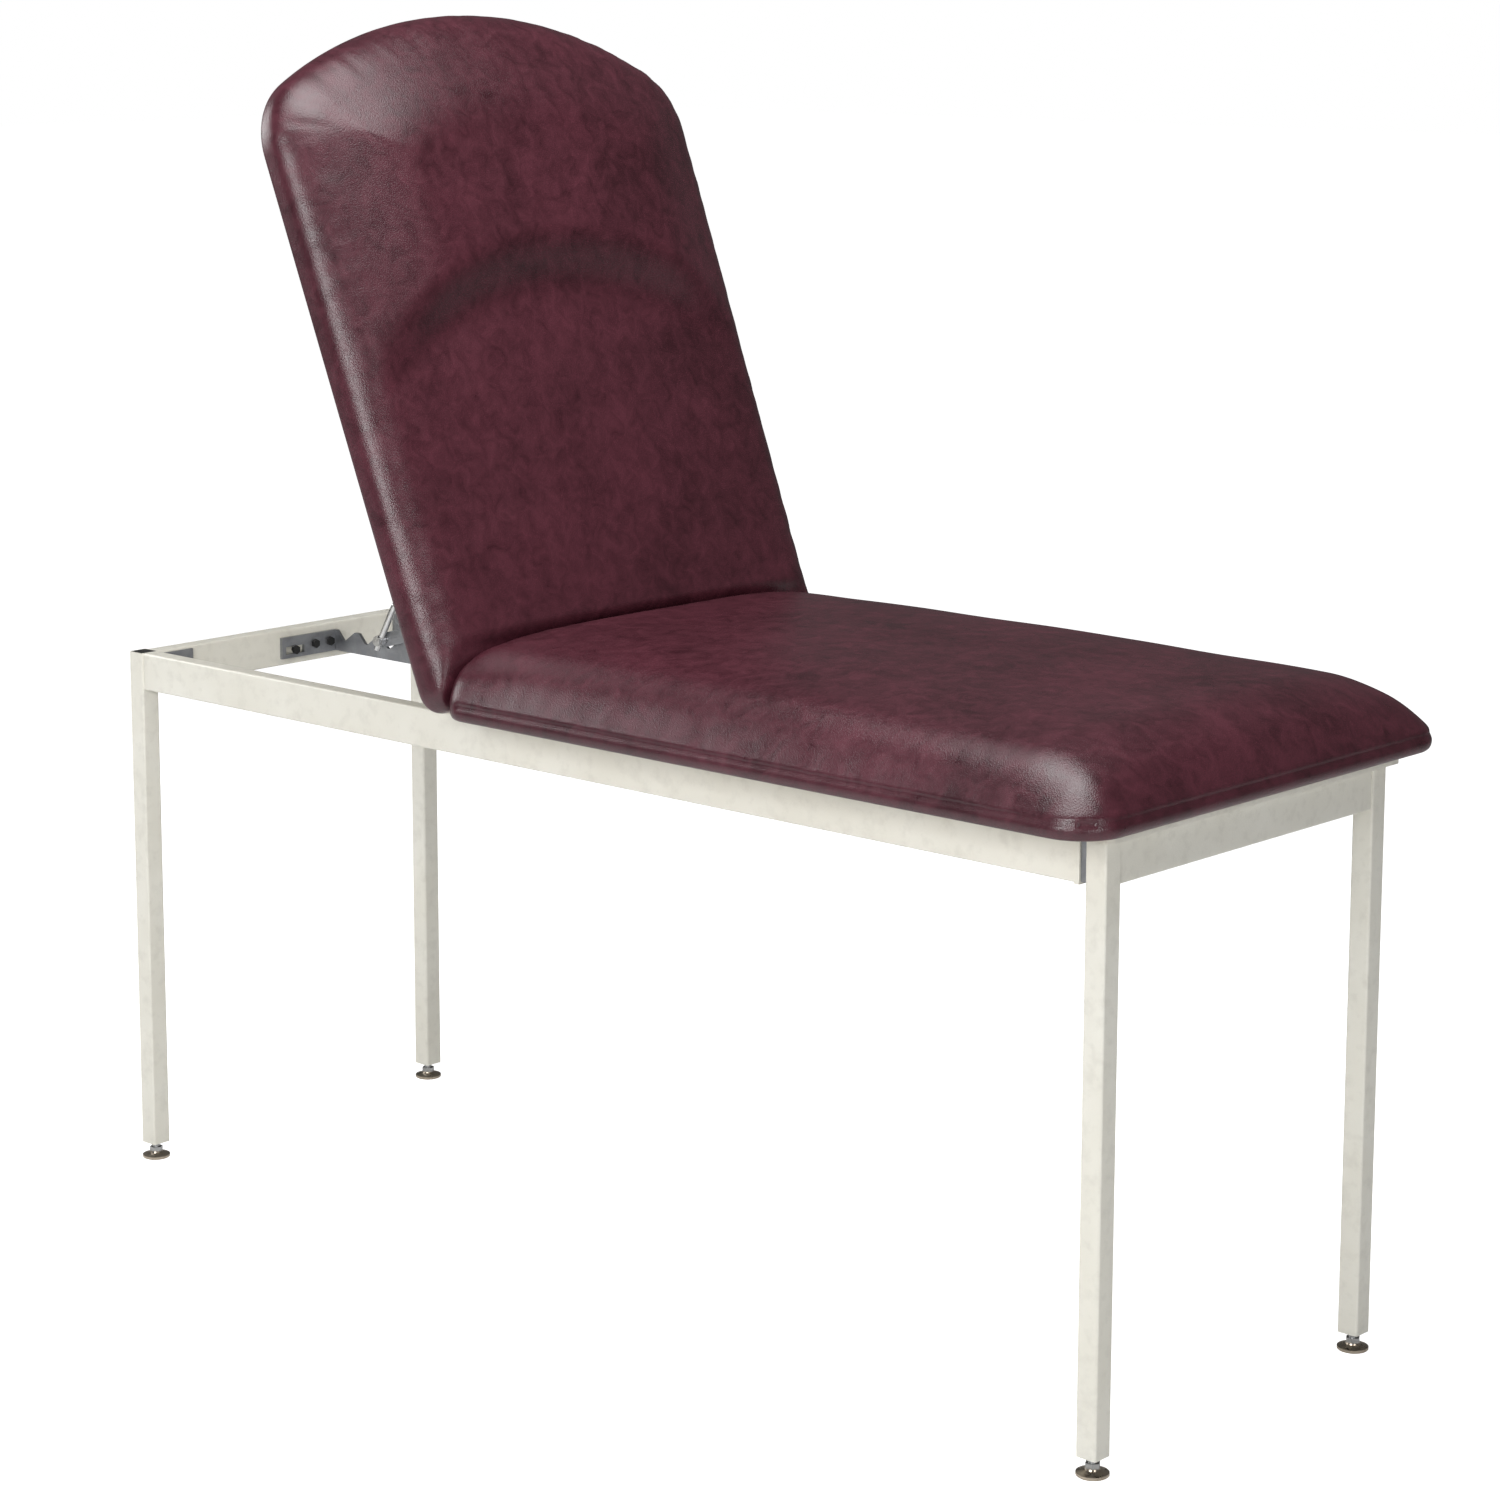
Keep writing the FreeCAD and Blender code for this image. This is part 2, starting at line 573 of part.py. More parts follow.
def make_hinge(side, sign):
    centre = f"{sign} * hinge_y"
    rail_top = "(frame_top - rail_tall + hinge_rail_tall)"
    ear_inner = "(knuckle_half + ear_gap)"
    width = f"(2 * {ear_inner} + 2 * ear_thick)"
    base = box("rail_thick", width, "leaf_thick", "hinge_x - rail_thick / 2",
               f"{centre} - {width} / 2", rail_top)
    ears = []
    for y in (f"{centre} - {ear_inner} - ear_thick", f"{centre} + {ear_inner}"):
        ears.append(box("2 * knuckle_rad", "ear_thick", f"hinge_z - {rail_top}",
                        "hinge_x - knuckle_rad", y, rail_top))
        ears.append(rod("knuckle_rad", "ear_thick", "hinge_x", y, "hinge_z"))
    bore = rod("pin_rad", width, "hinge_x", f"{centre} - {width} / 2", "hinge_z")
    keep(cut(fuse(base, *ears), bore), f"hinge_bracket_{side}")
    shaft = rod("pin_rad", width, "hinge_x", f"{centre} - {width} / 2", "hinge_z")
    heads = [rod("pin_head", "pin_head_tall", "hinge_x", y, "hinge_z") for y in
             (f"{centre} - {width} / 2 - pin_head_tall", f"{centre} + {width} / 2")]
    keep(fuse(shaft, *heads), f"hinge_pin_{side}")
    knuckle = rod("knuckle_rad", "2 * knuckle_half", 0, f"{centre} - knuckle_half", 0)
    leaf = box("leaf_len", "2 * knuckle_half", "leaf_thick", "-leaf_len",
               f"{centre} - knuckle_half", "-leaf_thick")
    running = rod("pin_rad + pin_play", "2 * knuckle_half", 0, f"{centre} - knuckle_half", 0)
    keep(on_back(cut(fuse(knuckle, leaf), running)), f"hinge_leaf_{side}")


# ---------------------------------------------------------------- prop and comb

def make_comb():
    """The notched plate and the flange that bolts it to the head rail."""
    body = doc.addObject("PartDesign::Body", "comb_plate")
    face = end_x(-1, INNER_FACE)
    plan = new_sketch(body, "plan", "XY_Plane", "comb_base")
    plate_low, plate_high = "prop_y - comb_thick / 2", "prop_y + comb_thick / 2"
    draw_polygon(plan, [(face, "flange_y"), (f"{face} + flange_thick", "flange_y"),
                        (f"{face} + flange_thick", plate_low), ("comb_end", plate_low),
                        ("comb_end", plate_high), (face, plate_high)])
    pad(body, plan, "comb_top - comb_base")
    notch = new_sketch(body, "notch", "XZ_Plane", "-prop_y")
    draw_polygon(notch, [("notch_at - 2", "comb_top - notch_deep"),
                         ("notch_at + 3", "comb_top - notch_deep"),
                         ("notch_at + notch_ramp", "comb_top + 1"),
                         ("notch_at - notch_steep", "comb_top + 1")])
    tooth = pocket(body, notch, "2 * comb_thick", both_ways=True)
    doc.recompute()
    row = body.newObject("PartDesign::LinearPattern", "row")
    row.Originals = [tooth]
    row.Direction = (origin_datum(body, "X_Axis"), [""])
    row.Reversed = True
    row.Occurrences = 3
    bind(row, Length="2 * notch_pitch")
    body.Tip = row
    slot = box("2 * flange_thick", "slot_len", "slot_wid", f"{face} - 1",
               "flange_y + slot_start",
               "slot_z - slot_wid / 2")
    keep(cut(body, slot, COMB_HOLES), "comb")


def make_prop():
    for side, sign in SIDES:
        near_edge = "-strap_off - strap_thick" if sign < 0 else "strap_off"
        bar = box("prop_len", "strap_thick", "2 * strap_half", "-prop_len", near_edge,
                  "-strap_half")
        ends = [rod("strap_half", "strap_thick", x, near_edge, 0) for x in (0, "-prop_len")]
        bores = [rod("pin_rad + pin_play", "strap_thick", 0, near_edge, 0),
                 rod("pin_rad", "strap_thick", "-prop_len", near_edge, 0)]
        keep(on_prop(cut(fuse(bar, *ends), *bores)), f"prop_strap_{side}")
    half = "(strap_off + strap_thick)"
    foot_half = "(strap_off + strap_thick + lever_wid + 1)"
    foot = rod("pin_rad", f"2 * {foot_half}", "-prop_len", f"-{foot_half}", 0)
    heads = [rod("pin_head", "pin_head_tall", "-prop_len", y, 0) for y in
             (f"-{foot_half} - pin_head_tall", foot_half)]
    keep(on_prop(fuse(foot, *heads)), "prop_foot_pin")
    middle = "-prop_len / 2"
    spacer = rod("spacer_rad", "2 * strap_off", middle, "-strap_off", 0)
    screws = [hexagon("bolt_head", "bolt_head_tall", middle, y, 0, X_AXIS, -90) for y in
              (f"-{half} - bolt_head_tall", half)]
    keep(on_prop(group(spacer)), "prop_spacer")
    keep(on_prop(group(*screws)), "prop_spacer_bolts")


def make_prop_bracket():
    """Two lugs under the back pan that carry the prop's upper pin."""
    foot_plate = box("4 * lug_half", "2 * (lug_off + lug_thick)", "leaf_thick",
                     "-pivot_arm - 2 * lug_half", "prop_y - lug_off - lug_thick", "-leaf_thick")
    lugs = []
    for y in ("prop_y - lug_off - lug_thick", "prop_y + lug_off"):
        lugs.append(box("2 * lug_half", "lug_thick", "pivot_drop", "-pivot_arm - lug_half", y,
                        "-pivot_drop"))
        lugs.append(rod("lug_half", "lug_thick", "-pivot_arm", y, "-pivot_drop"))
    width = "(2 * (lug_off + lug_thick))"
    bore = rod("pin_rad", width, "-pivot_arm", f"prop_y - {width} / 2", "-pivot_drop")
    keep(on_back(cut(fuse(foot_plate, *lugs), bore)), "prop_bracket")
    reach = "(strap_off + strap_thick + 0.5)"
    shaft = rod("pin_rad", f"2 * {reach}", "-pivot_arm", f"prop_y - {reach}", "-pivot_drop")
    heads = [rod("pin_head", "pin_head_tall", "-pivot_arm", y, "-pivot_drop") for y in
             (f"prop_y - {reach} - pin_head_tall", f"prop_y + {reach}")]
    keep(on_back(fuse(shaft, *heads)), "prop_pivot_pin")


def make_lever():
    """The hand lever that turns on the foot pin, beside the near strap."""
    inner = "(strap_off + strap_thick + 0.5)"
    boss = rod("lever_boss", "lever_wid", 0, f"-{inner} - lever_wid", 0)
    arm = cylinder("lever_rad", "lever_up + lever_down", "-lever_down",
                   f"-{inner} - lever_wid / 2", 0, Y_AXIS, 90)
    tip = doc.addObject("Part::Sphere", "tip")
    bind(tip, Radius="lever_rad")
    move(tip, "lever_up", f"-{inner} - lever_wid / 2", 0)
    bore = rod("pin_rad + pin_play", "lever_wid", 0, f"-{inner} - lever_wid", 0)
    lever = cut(fuse(boss, arm, tip), bore)
    keep(move(lever, FOOT_X, "prop_y", FOOT_Z, Y_AXIS, "-lever_tilt"), "release_lever")


# ---------------------------------------------------------------- assembly

HOLES = group(*bolt_holes())
COMB_HOLES = group(*[cylinder("bolt_shank + hole_play", "2 * bolt_reach", f"{x} + bolt_reach / 2",
                              y, z, Y_AXIS, -90) for x, y, z, turn in comb_bolt_spots()])


def build():
    for corner in CORNERS:
        make_leg(*corner)
        make_leveler(*corner)
        make_gusset(*corner)
    for side in SIDES:
        make_side_rail(*side)
        make_hinge(*side)
    make_leg_caps()
    make_leg_inserts()
    make_end_rail("head", -1)
    make_end_rail("foot", 1)
    make_hinge_rail()
    keep(group(*[bolt(x, y, z, X_AXIS, turn) for x, y, z, turn in side_bolt_spots()],
               *[bolt(x, y, z, Y_AXIS, turn) for x, y, z, turn in end_bolt_spots()]),
         "gusset_bolts")
    keep(group(*[bolt(x, y, z, Y_AXIS, turn) for x, y, z, turn in comb_bolt_spots()]),
         "comb_bolts")
    make_pans()
    make_strips()
    make_seat()
    make_back()
    make_bumpers()
    make_comb()
    make_prop_bracket()
    make_prop()
    make_lever()


def write_parts():
    doc.recompute()
    failed = [item.Name for item in doc.Objects if {"Invalid", "Error"} & set(item.State)]
    if failed:
        raise RuntimeError(f"objects failed to recompute: {failed}")
    os.makedirs("parts", exist_ok=True)
    for item in SUB_PARTS:
        shape = item.Shape
        if shape.isNull() or not shape.isValid() or not shape.Solids:
            raise RuntimeError(f"{item.Label} is not a valid solid")
        shape.exportStep(f"parts/{item.Label}.step")
        print(f"{item.Label}: {len(shape.Solids)} solids, {shape.Volume / 1000:.2f} cm3")


build()
write_parts()
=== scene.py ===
import json
import math

import bpy
import numpy as np
from mathutils import Matrix, Vector, noise


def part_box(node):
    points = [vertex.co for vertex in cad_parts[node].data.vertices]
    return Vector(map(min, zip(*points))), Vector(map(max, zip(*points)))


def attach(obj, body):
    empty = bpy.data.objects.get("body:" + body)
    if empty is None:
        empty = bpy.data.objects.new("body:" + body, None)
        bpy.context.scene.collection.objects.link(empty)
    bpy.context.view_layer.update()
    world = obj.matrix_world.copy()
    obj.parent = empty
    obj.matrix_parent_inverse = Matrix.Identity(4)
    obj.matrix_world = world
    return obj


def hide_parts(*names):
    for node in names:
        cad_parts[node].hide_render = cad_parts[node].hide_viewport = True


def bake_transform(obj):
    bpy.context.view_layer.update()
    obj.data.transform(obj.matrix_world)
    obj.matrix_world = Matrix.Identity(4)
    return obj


# Medical exam table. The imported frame, hinges, prop and feet keep their meshes and
# get their finishes here. The two vinyl cushions are built on top of them.
# Metres, +X towards the foot end, +Y across to the far side, +Z up.

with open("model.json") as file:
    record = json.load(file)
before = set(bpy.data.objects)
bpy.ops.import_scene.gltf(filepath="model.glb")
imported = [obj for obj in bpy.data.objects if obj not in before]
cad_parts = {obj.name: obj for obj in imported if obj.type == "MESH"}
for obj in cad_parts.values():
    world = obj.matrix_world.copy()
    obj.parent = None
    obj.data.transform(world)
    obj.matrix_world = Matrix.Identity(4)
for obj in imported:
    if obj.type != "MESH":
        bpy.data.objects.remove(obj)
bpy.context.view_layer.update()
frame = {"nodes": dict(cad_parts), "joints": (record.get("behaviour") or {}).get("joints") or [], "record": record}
nodes = frame["nodes"]

# The backrest's own frame at rest: it leans up from the hinge axis.
recline = next(joint for joint in frame["joints"] if joint["name"] == "backrest_recline")
hinge = Vector(recline["pos_m"])
lean = math.radians(-recline["range_deg"][0])
up_back = Vector((-math.cos(lean), 0, math.sin(lean)))
out_front = Vector((math.sin(lean), 0, math.cos(lean)))
back_frame = Matrix((
    (up_back.x, 0, out_front.x, hinge.x),
    (0, 1, 0, 0),
    (up_back.z, 0, out_front.z, hinge.z),
    (0, 0, 0, 1),
))


# ---------------------------------------------------------------- camera and lights

TARGET = Vector((-0.014, 0, 0.8643))
AZIMUTH, ELEVATION = math.radians(42.9), math.radians(9.51)
DISTANCE = 4.6653


def add_camera():
    data = bpy.data.cameras.new("camera")
    data.sensor_width = 36
    data.lens = 88.47
    data.shift_x = 0.0270
    data.shift_y = -0.1057
    back = Vector((
        math.sin(AZIMUTH) * math.cos(ELEVATION),
        -math.cos(AZIMUTH) * math.cos(ELEVATION),
        math.sin(ELEVATION),
    ))
    camera = bpy.data.objects.new("camera", data)
    camera.location = TARGET + DISTANCE * back
    camera.rotation_mode = "QUATERNION"
    camera.rotation_quaternion = (-back).to_track_quat("-Z", "Y")
    bpy.context.scene.collection.objects.link(camera)
    bpy.context.scene.camera = camera


def add_softbox(name, place, aim, width, height, power):
    data = bpy.data.lights.new(name, "AREA")
    data.shape = "RECTANGLE"
    data.size = width
    data.size_y = height
    data.energy = power
    lamp = bpy.data.objects.new(name, data)
    lamp.location = place
    lamp.rotation_mode = "QUATERNION"
    lamp.rotation_quaternion = (Vector(aim) - Vector(place)).to_track_quat("-Z", "Y")
    bpy.context.scene.collection.objects.link(lamp)


AMBIENT = 0.10
BACKDROP = 1.0
FLOOR_GLOW = 0.93
FLOOR_TONE = 0.85


def add_studio():
    """Soft boxes overhead, in front and behind, and a dim room with a bright backdrop."""
    world = bpy.data.worlds.new("studio")
    world.use_nodes = True
    tree = world.node_tree
    seen = add(tree, "ShaderNodeLightPath", {}).outputs["Is Camera Ray"]
    background = tree.nodes["Background"].inputs
    tree.links.new(fit_range(tree, seen, 0, 1, AMBIENT, BACKDROP), background["Strength"])
    background["Color"].default_value = (1, 1, 1, 1)
    scene = bpy.context.scene
    scene.world = world
    scene.view_settings.view_transform = "Standard"
    add_softbox("overhead", (0.3, -0.3, 3.3), (0.1, 0, 0.8), 2.0, 1.6, 72)
    add_softbox("key", (1.2, -4.0, 2.3), (0, 0, 0.8), 1.8, 1.5, 105)
    add_softbox("front", (4.4, -1.4, 1.7), (0, 0, 0.7), 1.4, 1.6, 36)
    add_softbox("behind", (-3.6, -1.4, 2.2), (0, 0, 0.8), 2.0, 1.6, 60)


# ---------------------------------------------------------------- shader helpers

def new_material(name, **settings):
    """A principled material; settings are its own sockets, with _ for each space."""
    material = bpy.data.materials.new(name)
    material.use_nodes = True
    shader = material.node_tree.nodes["Principled BSDF"]
    for socket, value in settings.items():
        shader.inputs[socket.replace("_", " ").title().replace("Ior", "IOR")].default_value = value
    return material.node_tree, shader


def add(tree, kind, inputs, **settings):
    """A node whose inputs are values, or other nodes' sockets to link."""
    made = tree.nodes.new(kind)
    for name, value in settings.items():
        setattr(made, name, value)
    for socket, value in inputs.items():
        if isinstance(value, bpy.types.NodeSocket):
            tree.links.new(value, made.inputs[socket])
        else:
            made.inputs[socket].default_value = value
    return made


def object_place(tree):
    return add(tree, "ShaderNodeTexCoord", {}).outputs["Object"]


def kept_place(tree):
    """The place each point had at rest, so that a pattern stays on cloth that bends."""
    return add(tree, "ShaderNodeAttribute", {}, attribute_name=REST_PLACE).outputs["Vector"]


def stretched(tree, place, scale, turn=(0, 0, 0)):
    return add(tree, "ShaderNodeMapping", {"Vector": place, "Scale": scale, "Rotation": turn}).outputs[0]


def clouds(tree, place, scale, detail=4, roughness=0.55, distortion=0):
    inputs = {"Vector": place, "Scale": scale, "Detail": detail,
              "Roughness": roughness, "Distortion": distortion}
    return add(tree, "ShaderNodeTexNoise", inputs).outputs["Fac"]


def cells(tree, place, scale, feature="F1"):
    texture = add(tree, "ShaderNodeTexVoronoi", {"Vector": place, "Scale": scale}, feature=feature)
    return texture.outputs["Distance"]


def fit_range(tree, value, low, high, to_low=0.0, to_high=1.0):
    inputs = {"Value": value, "From Min": low, "From Max": high, "To Min": to_low, "To Max": to_high}
    return add(tree, "ShaderNodeMapRange", inputs).outputs["Result"]


def blend_colour(tree, share, first, second, mode="MIX"):
    made = tree.nodes.new("ShaderNodeMix")
    made.data_type = "RGBA"
    made.blend_type = mode
    for index, value in ((0, share), (6, first), (7, second)):
        if isinstance(value, bpy.types.NodeSocket):
            tree.links.new(value, made.inputs[index])
        else:
            made.inputs[index].default_value = value
    return made.outputs[2]


def maths(tree, operation, first, second):
    return add(tree, "ShaderNodeMath", {0: first, 1: second}, operation=operation).outputs[0]


def bump(tree, height, depth, below=None, strength=1.0):
    inputs = {"Height": height, "Distance": depth, "Strength": strength}
    if below is not None:
        inputs["Normal"] = below
    return add(tree, "ShaderNodeBump", inputs).outputs["Normal"]


def wire(tree, shader, **sockets):
    for socket, value in sockets.items():
        tree.links.new(value, shader.inputs[socket.replace("_", " ").title()])


def grey(value):
    return (value, value, value, 1)


# ---------------------------------------------------------------- finishes of the CAD parts

def powder_coat():
    """Off-white powder coat: slight orange peel, faint scuffs and rubbed edges."""
    tree, shader = new_material("powder_coat", specular_ior_level=0.5)
    place = object_place(tree)
    tone = fit_range(tree, clouds(tree, place, 7, 3), 0.35, 0.7)
    paint = blend_colour(tree, tone, (0.74, 0.72, 0.64, 1), (0.80, 0.785, 0.715, 1))
    edges = add(tree, "ShaderNodeNewGeometry", {}).outputs["Pointiness"]
    rubbed = maths(tree, "MULTIPLY", fit_range(tree, edges, 0.53, 0.62),
                   fit_range(tree, clouds(tree, place, 60, 5), 0.5, 0.7))
    paint = blend_colour(tree, maths(tree, "MULTIPLY", rubbed, 0.35), paint, (0.55, 0.53, 0.47, 1))
    scuffs = clouds(tree, stretched(tree, place, (14, 70, 30)), 1, 6, 0.6)
    gloss = fit_range(tree, scuffs, 0.3, 0.75, 0.30, 0.46)
    peel = bump(tree, clouds(tree, place, 420, 2), 0.0006, strength=0.35)
    wire(tree, shader, base_color=paint, roughness=gloss, normal=peel)
    return tree


def zinc_plate():
    """Grey zinc plate: cloudy, with fine drawn lines."""
    tree, shader = new_material("zinc_plate", metallic=0.9)
    place = object_place(tree)
    cloud = clouds(tree, place, 38, 5, 0.6, 0.6)
    tone = blend_colour(tree, cloud, (0.16, 0.165, 0.18, 1), (0.46, 0.47, 0.49, 1))
    lines = clouds(tree, stretched(tree, place, (25, 300, 900)), 1, 3)
    gloss = fit_range(tree, maths(tree, "ADD", lines, cloud), 0.6, 1.4, 0.32, 0.55)
    wire(tree, shader, base_color=tone, roughness=gloss, normal=bump(tree, lines, 0.0004, strength=0.4))
    return tree


def plated(name, dark, light, low_gloss, high_gloss, detail_scale):
    """Bright plate on small turned pieces, with faint turning marks and dulled patches."""
    tree, shader = new_material(name, metallic=1.0)
    place = object_place(tree)
    patches = clouds(tree, place, detail_scale, 5, 0.6)
    rings = clouds(tree, stretched(tree, place, (30, 30, 1800)), 1, 2)
    tone = blend_colour(tree, patches, dark, light)
    gloss = fit_range(tree, patches, 0.3, 0.7, low_gloss, high_gloss)
    wire(tree, shader, base_color=tone, roughness=gloss, normal=bump(tree, rings, 0.0002, strength=0.4))
    return tree


def black_oxide():
    tree, shader = new_material("black_oxide", metallic=0.6)
    place = object_place(tree)
    patches = clouds(tree, place, 120, 5)
    tone = blend_colour(tree, patches, grey(0.012), grey(0.05))
    wire(tree, shader, base_color=tone, roughness=fit_range(tree, patches, 0.3, 0.7, 0.35, 0.6),
         normal=bump(tree, clouds(tree, place, 900, 2), 0.0003))
    return tree


def moulded_black():
    tree, shader = new_material("moulded_black", specular_ior_level=0.45)
    place = object_place(tree)
    grain = cells(tree, place, 1400)
    dust = fit_range(tree, clouds(tree, place, 50, 5), 0.45, 0.8)
    wire(tree, shader, base_color=blend_colour(tree, dust, grey(0.018), grey(0.05)),
         roughness=fit_range(tree, dust, 0, 1, 0.45, 0.65), normal=bump(tree, grain, 0.0002, strength=0.6))
    return tree


def rubber():
    tree, shader = new_material("rubber", specular_ior_level=0.3)
    place = object_place(tree)
    dust = fit_range(tree, clouds(tree, place, 80, 6), 0.45, 0.8)
    wire(tree, shader, base_color=blend_colour(tree, dust, grey(0.014), grey(0.055)),
         roughness=fit_range(tree, dust, 0, 1, 0.7, 0.9),
         normal=bump(tree, clouds(tree, place, 700, 3), 0.0004))
    return tree


def plywood():
    """Bare birch plywood: long grain on the faces, plies at the edges."""
    tree, shader = new_material("plywood", specular_ior_level=0.3)
    place = object_place(tree)
    long_grain = clouds(tree, stretched(tree, place, (5, 60, 60)), 1, 6, 0.65, 1.4)
    fine_grain = clouds(tree, stretched(tree, place, (18, 420, 420)), 1, 4, 0.6)
    wood = blend_colour(tree, long_grain, (0.33, 0.20, 0.10, 1), (0.62, 0.46, 0.29, 1))
    wood = blend_colour(tree, maths(tree, "MULTIPLY", fine_grain, 0.5), wood, (0.30, 0.18, 0.09, 1))
    wire(tree, shader, base_color=wood, roughness=fit_range(tree, fine_grain, 0.3, 0.7, 0.55, 0.75),
         normal=bump(tree, fine_grain, 0.0006))
    return tree


def foam():
    tree, shader = new_material("foam", specular_ior_level=0.2)
    pores = cells(tree, object_place(tree), 900)
    wire(tree, shader, base_color=blend_colour(tree, pores, (0.45, 0.40, 0.27, 1), (0.72, 0.66, 0.48, 1)),
         roughness=fit_range(tree, pores, 0, 1, 0.85, 1), normal=bump(tree, pores, 0.0008))
    return tree


REST_PLACE = "rest_place"


def vinyl():
    """Burgundy upholstery vinyl: mottled colour, fine leather grain, hairline creases."""
    tree, shader = new_material("burgundy_vinyl", specular_ior_level=0.55)
    place = kept_place(tree)
    broad = clouds(tree, place, 7, 5, 0.62, 0.4)
    close = clouds(tree, place, 42, 6, 0.66, 0.8)
    mottle = maths(tree, "ADD", maths(tree, "MULTIPLY", broad, 0.45),
                   maths(tree, "MULTIPLY", close, 0.55))
    tone = fit_range(tree, mottle, 0.36, 0.64)
    colour = blend_colour(tree, tone, (0.034, 0.0066, 0.0112, 1), (0.088, 0.0195, 0.0310, 1))
    warped = clouds(tree, place, 14, 3)
    bent = add(tree, "ShaderNodeVectorMath", {0: place, 1: warped}, operation="ADD").outputs[0]
    veins = cells(tree, stretched(tree, bent, (28, 44, 44)), 1, "DISTANCE_TO_EDGE")
    vein_mask = maths(tree, "MULTIPLY", fit_range(tree, veins, 0.0, 0.035, 1, 0),
                      fit_range(tree, clouds(tree, place, 20, 2), 0.45, 0.7))
    colour = blend_colour(tree, maths(tree, "MULTIPLY", vein_mask, 0.22),
                          colour, (0.125, 0.036, 0.050, 1))
    gloss = fit_range(tree, close, 0.3, 0.7, 0.27, 0.36)
    pebble = cells(tree, place, 620)
    fine = clouds(tree, place, 1500, 3)
    grain = bump(tree, pebble, 0.0004, strength=0.5)
    grain = bump(tree, fine, 0.0002, grain, 0.4)
    wire(tree, shader, base_color=colour, roughness=gloss, normal=grain)
    return tree


def material_of(tree):
    return next(m for m in bpy.data.materials if m.node_tree == tree)


def finish_cad_parts():
    finishes = {
        "frame_paint": powder_coat(),
        "zinc_steel": zinc_plate(),
        "bright_fasteners": plated("bright_zinc", grey(0.42), grey(0.72), 0.20, 0.38, 90),
        "black_fasteners": black_oxide(),
        "bright_rod": plated("polished_rod", grey(0.55), grey(0.82), 0.12, 0.26, 60),
        "black_plastic": moulded_black(),
        "rubber": rubber(),
        "plywood": plywood(),
        "foam": foam(),
        "leveler_nickel": plated("satin_nickel", (0.36, 0.30, 0.23, 1), (0.68, 0.60, 0.50, 1),
                                 0.22, 0.42, 70),
        "leveler_steel": plated("stem_zinc", grey(0.34), grey(0.60), 0.28, 0.45, 90),
    }
    for part in frame["record"]["subparts"]:
        tree = finishes.get(part["material_slot"])
        if tree is not None:
            mesh = nodes[part["node"]].data
            mesh.materials.clear()
            mesh.materials.append(material_of(tree))


# ---------------------------------------------------------------- pad meshes

SPACING = 0.006


def arc(centre, radius, start, end):
    """Points along an arc, from angle start to end in degrees."""
    count = max(4, int(abs(end - start) * math.pi / 180 * radius / (SPACING / 3)))
    angles = np.radians(np.linspace(start, end, count))
    return np.stack([centre[0] + radius * np.cos(angles), centre[1] + radius * np.sin(angles)], 1)


def evenly(points, count):
    """The same line with count + 1 points, evenly spaced along it."""
    steps = np.linalg.norm(np.diff(points, axis=0), axis=1)
    length = np.concatenate([[0], np.cumsum(steps)])
    wanted = np.linspace(0, length[-1], count + 1)
    return np.stack([np.interp(wanted, length, points[:, axis]) for axis in (0, 1)], 1)


def smooth_step(value):
    value = np.clip(value, 0, 1)
    return value * value * (3 - 2 * value)


class Outline:
    """A pad's plan: four sides that meet in the middle of its corners, anticlockwise.

    Sides are high end, far, low end and near, in the pad's own plan axes (p, q)."""

    def __init__(self, high, far, low, near):
        across = int(np.linalg.norm(high[0] - high[-1]) / SPACING)
        along = int(np.linalg.norm(far[0] - far[-1]) / SPACING)
        self.across, self.along = across, along
        sides = [evenly(high, across), evenly(far, along), evenly(low, across), evenly(near, along)]
        self.loop = np.concatenate([side[:-1] for side in sides])
        ahead = np.roll(self.loop, -1, axis=0) - np.roll(self.loop, 1, axis=0)
        ahead /= np.linalg.norm(ahead, axis=1)[:, None]
        self.outward = np.stack([ahead[:, 1], -ahead[:, 0]], 1)
        steps = np.linalg.norm(np.diff(self.loop, axis=0, append=self.loop[:1]), axis=1)
        self.length = np.cumsum(steps) - steps[0]

    def inset(self, distance):
        return self.loop - self.outward * np.asarray(distance)[..., None]

    def filled(self, loop):
        """Points inside the loop, as a Coons patch, indexed [along][across]."""
        across, along = self.across, self.along
        high = loop[:across + 1]
        far = loop[across:across + along + 1]
        low = loop[across + along:2 * across + along + 1][::-1]
        near = np.concatenate([loop[2 * across + along:], loop[:1]])[::-1]
        u = np.linspace(0, 1, across + 1)[None, :, None]
        v = np.linspace(0, 1, along + 1)[:, None, None]
        ruled = (1 - v) * high[None] + v * low[None] + (1 - u) * near[:, None] + u * far[:, None]
        corners = ((1 - u) * (1 - v) * high[0] + u * (1 - v) * high[-1]
                   + (1 - u) * v * low[0] + u * v * low[-1])
        return ruled - corners

    def ring_index(self, grid_start):
        """Indices of the patch's rim, in the loop's order."""
        across, along = self.across, self.along
        row = across + 1
        return ([grid_start + i for i in range(across)]
                + [grid_start + j * row + across for j in range(along)]
                + [grid_start + along * row + i for i in range(across, 0, -1)]
                + [grid_start + j * row for j in range(along, 0, -1)])


